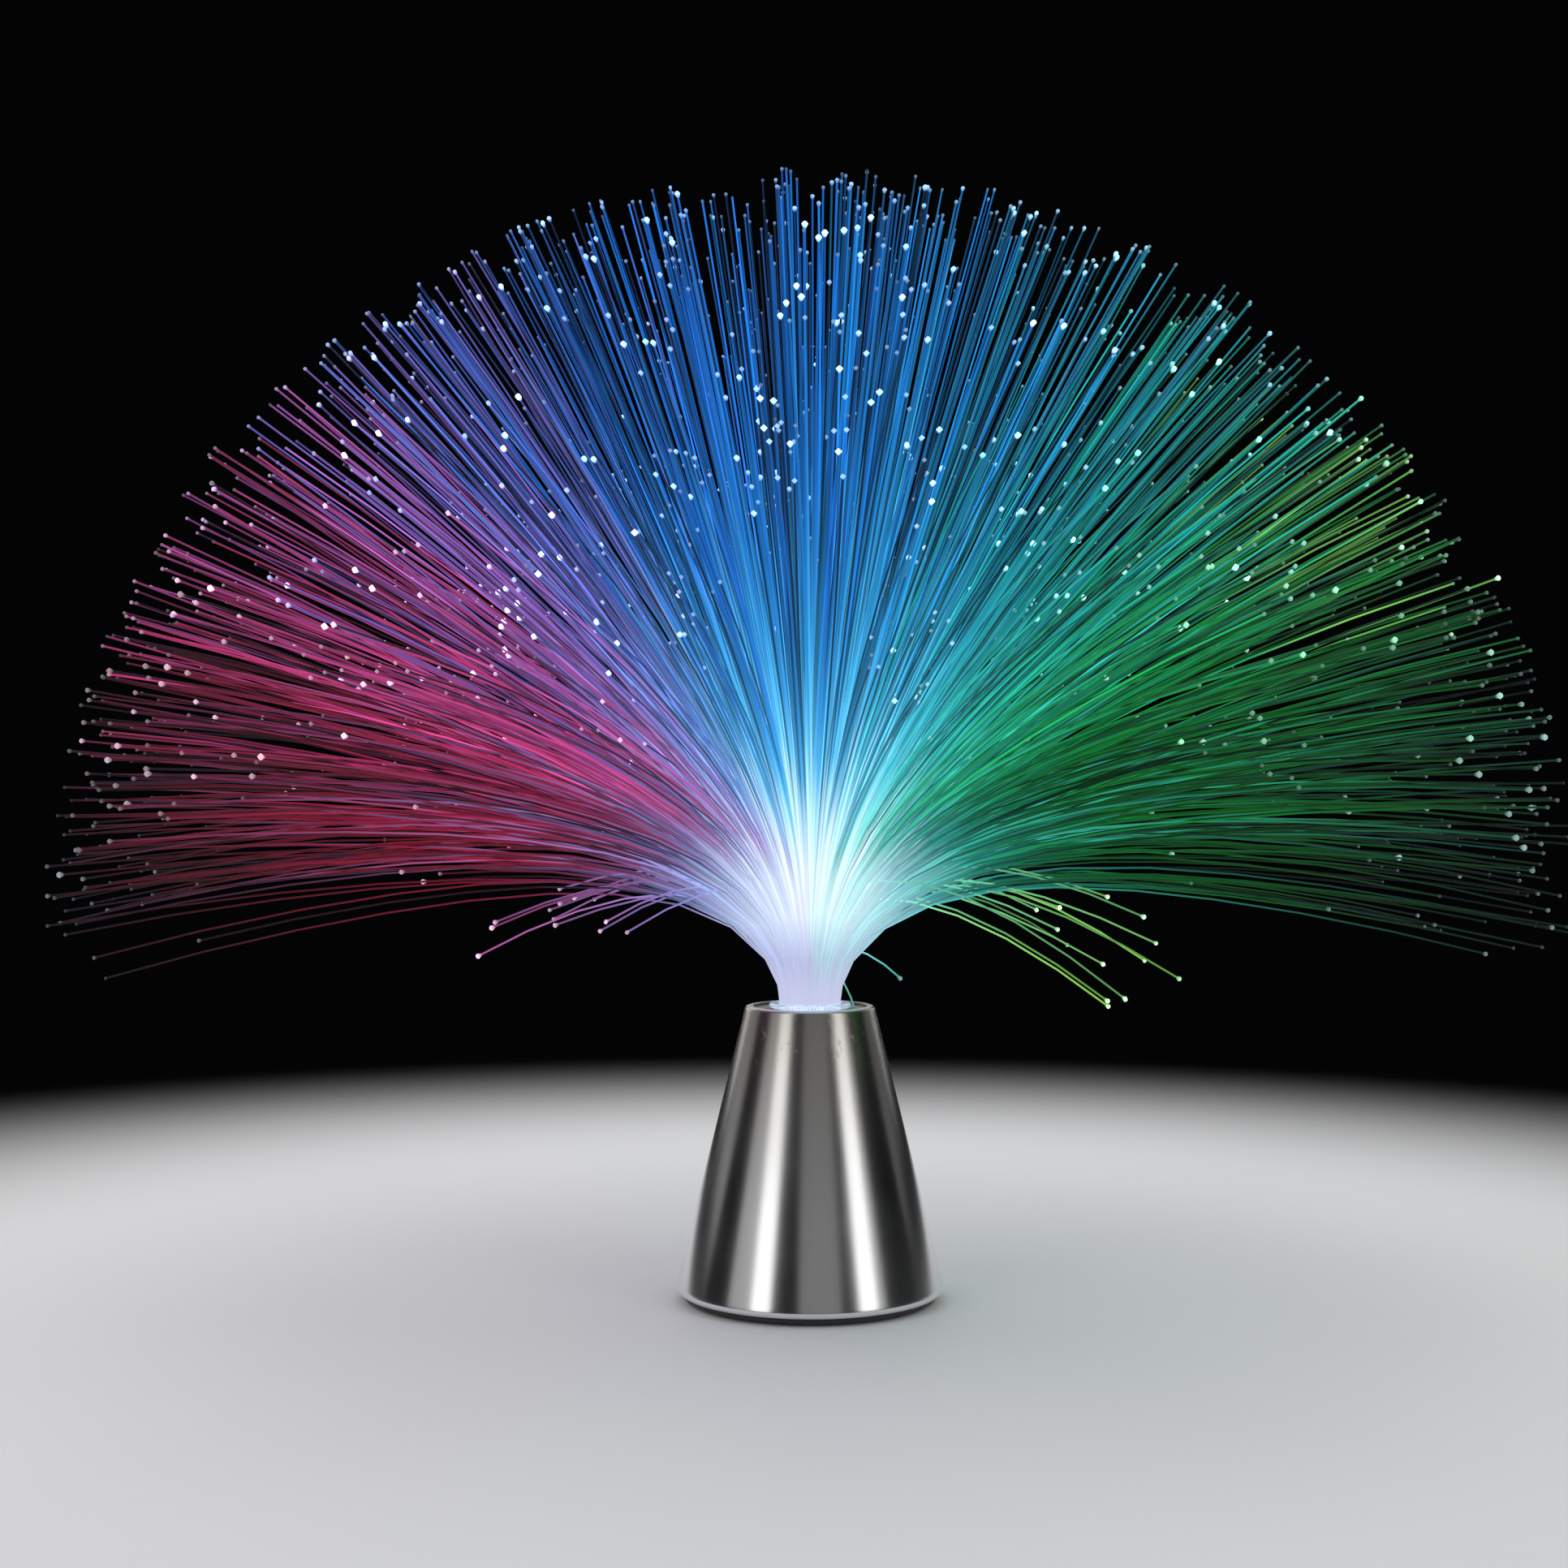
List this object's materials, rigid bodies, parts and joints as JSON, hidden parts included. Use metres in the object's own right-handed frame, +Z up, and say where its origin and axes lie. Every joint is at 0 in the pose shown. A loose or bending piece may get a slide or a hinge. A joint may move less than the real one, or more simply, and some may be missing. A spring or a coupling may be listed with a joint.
{
  "type": "fiber optic lamp",
  "caption": "Battery lamp with a polished metal cone base and a wide dome of glowing optical fibres plugged into its top; twist-off battery door and slide switch underneath.",
  "frame": {"origin": "middle of the footprint, on the surface that the foot pads stand on", "axes": "+Z up, +X to the viewer's right along the widest reach of the spray, -Y towards the viewer"},
  "size_m": [0.42, 0.3906, 0.3118],
  "materials": {
    "shell": "polished, lightly scuffed",
    "black_plastic": "fine moulded texture",
    "grey_plastic": "satin",
    "foot_rubber": "matte",
    "clear_plastic": "clear, moulded",
    "circuit_board": "solder mask",
    "chip": "moulded epoxy",
    "resistor": "lacquered, with colour bands",
    "spring_steel": "nickel plated",
    "brass": "bright",
    "screw": "zinc plated",
    "cell": "printed film sleeve, plain",
    "led_red": "clear tinted epoxy, lit",
    "led_blue": "clear tinted epoxy, lit",
    "led_green": "clear tinted epoxy, lit",
    "lead_red": "satin",
    "lead_black": "satin",
    "lead_white": "satin",
    "fibre_red": "clear fibre lit red",
    "fibre_blue": "clear fibre lit blue",
    "fibre_green": "clear fibre lit green"
  },
  "bodies": {
    "base": {"cone_shell": "shell", "socket_collar": "grey_plastic", "base_plate": "black_plastic", "foot_pad_1": "foot_rubber", "foot_pad_2": "foot_rubber", "foot_pad_3": "foot_rubber", "foot_pad_4": "foot_rubber", "battery_case": "black_plastic", "contact_cap": "grey_plastic", "case_screw_1": "screw", "case_screw_2": "screw", "case_screw_3": "screw", "cap_screw_1": "screw", "cap_screw_2": "screw", "cap_screw_3": "screw", "board_screw_1": "screw", "board_screw_2": "screw", "board_screw_3": "screw", "switch_screw_1": "screw", "switch_screw_2": "screw", "cell_1": "cell", "cell_2": "cell", "cell_3": "cell", "cap_bridge_contact": "spring_steel", "cap_positive_contact": "spring_steel", "return_rod": "brass", "led_board": "circuit_board", "led_red": "led_red", "led_blue": "led_blue", "led_green": "led_green", "resistor_1": "resistor", "resistor_2": "resistor", "resistor_3": "resistor", "controller_chip": "chip", "switch_body": "grey_plastic", "lead_switch": "lead_white", "lead_return": "lead_black", "lead_positive": "lead_red"},
    "door": {"battery_door": "black_plastic", "door_bridge_contact": "spring_steel", "door_return_contact": "spring_steel"},
    "switch": {"switch_knob": "grey_plastic"},
    "spray": {"fibre_ferrule": "clear_plastic", "fibres_right": "fibre_green", "fibres_back": "fibre_blue", "fibres_left": "fibre_red", "fibres_front": "fibre_blue"}
  },
  "joints": [
    {"name": "door_twist", "type": "hinge", "parent": "base", "child": "door", "pos_m": [0, 0, 0.0028], "axis": [0, 0, -1], "range_deg": [0, 36]},
    {"name": "switch_slide", "type": "slide", "parent": "base", "child": "switch", "axis": [1, 0, 0], "range_m": [-0.004, 0]},
    {"name": "spray_lift", "type": "slide", "parent": "base", "child": "spray", "axis": [0, 0, 1], "range_m": [0, 0.016]}
  ]
}
